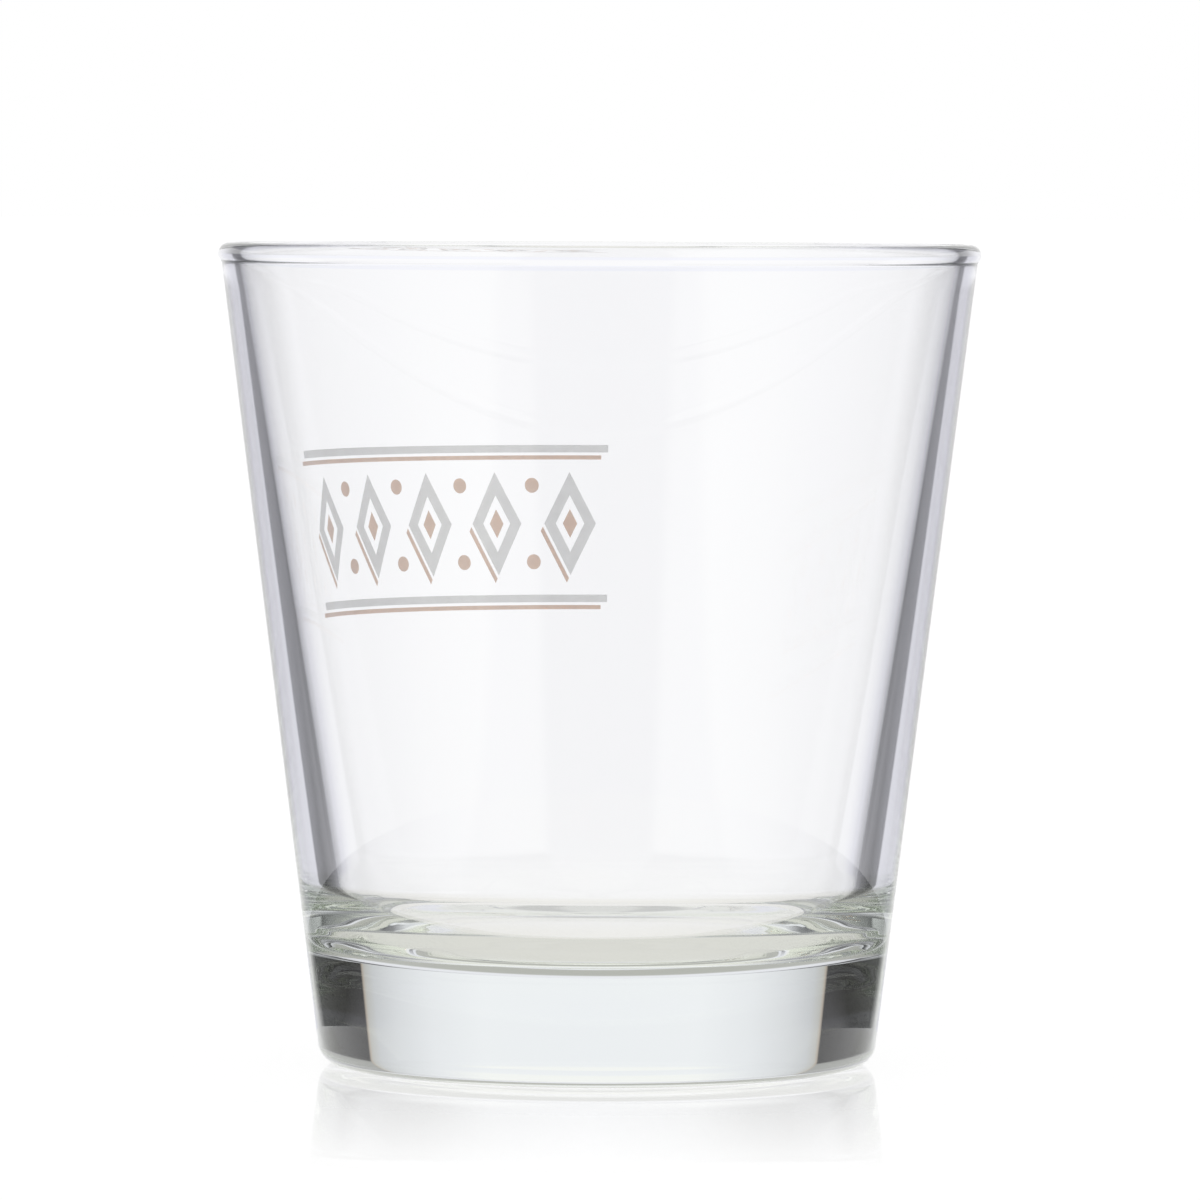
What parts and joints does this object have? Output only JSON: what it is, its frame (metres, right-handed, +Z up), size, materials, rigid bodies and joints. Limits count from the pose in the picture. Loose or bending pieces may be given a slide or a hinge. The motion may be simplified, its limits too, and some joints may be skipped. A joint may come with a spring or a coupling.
{
  "type": "rocks glass",
  "caption": "Clear tapered rocks glass with a thick heavy base, a rounded rim and a small two-colour enamel frieze on one side of its wall. It holds a short drink.",
  "frame": {"origin": "centre of the ring that the glass stands on, in the plane of the table", "axes": "+Z up along the axis of the glass, +Y away from the picture's camera, +X to its right"},
  "size_m": [0.0886, 0.0886, 0.0954],
  "materials": {
    "clear_glass": "polished",
    "grey_enamel": "satin",
    "copper_enamel": "satin"
  },
  "bodies": {
    "root": {"glass_body": "clear_glass", "lozenge_frame_1": "grey_enamel", "lozenge_frame_2": "grey_enamel", "lozenge_frame_3": "grey_enamel", "lozenge_frame_4": "grey_enamel", "lozenge_frame_5": "grey_enamel", "upper_rule": "grey_enamel", "lower_rule": "grey_enamel", "lozenge_core_1": "copper_enamel", "lozenge_core_2": "copper_enamel", "lozenge_core_3": "copper_enamel", "lozenge_core_4": "copper_enamel", "lozenge_core_5": "copper_enamel", "lozenge_shadow_1": "copper_enamel", "lozenge_shadow_2": "copper_enamel", "lozenge_shadow_3": "copper_enamel", "lozenge_shadow_4": "copper_enamel", "lozenge_shadow_5": "copper_enamel", "upper_dot_1": "copper_enamel", "upper_dot_2": "copper_enamel", "upper_dot_3": "copper_enamel", "upper_dot_4": "copper_enamel", "lower_dot_1": "copper_enamel", "lower_dot_2": "copper_enamel", "lower_dot_3": "copper_enamel", "lower_dot_4": "copper_enamel", "upper_rule_shadow": "copper_enamel", "lower_rule_shadow": "copper_enamel"}
  },
  "joints": []
}
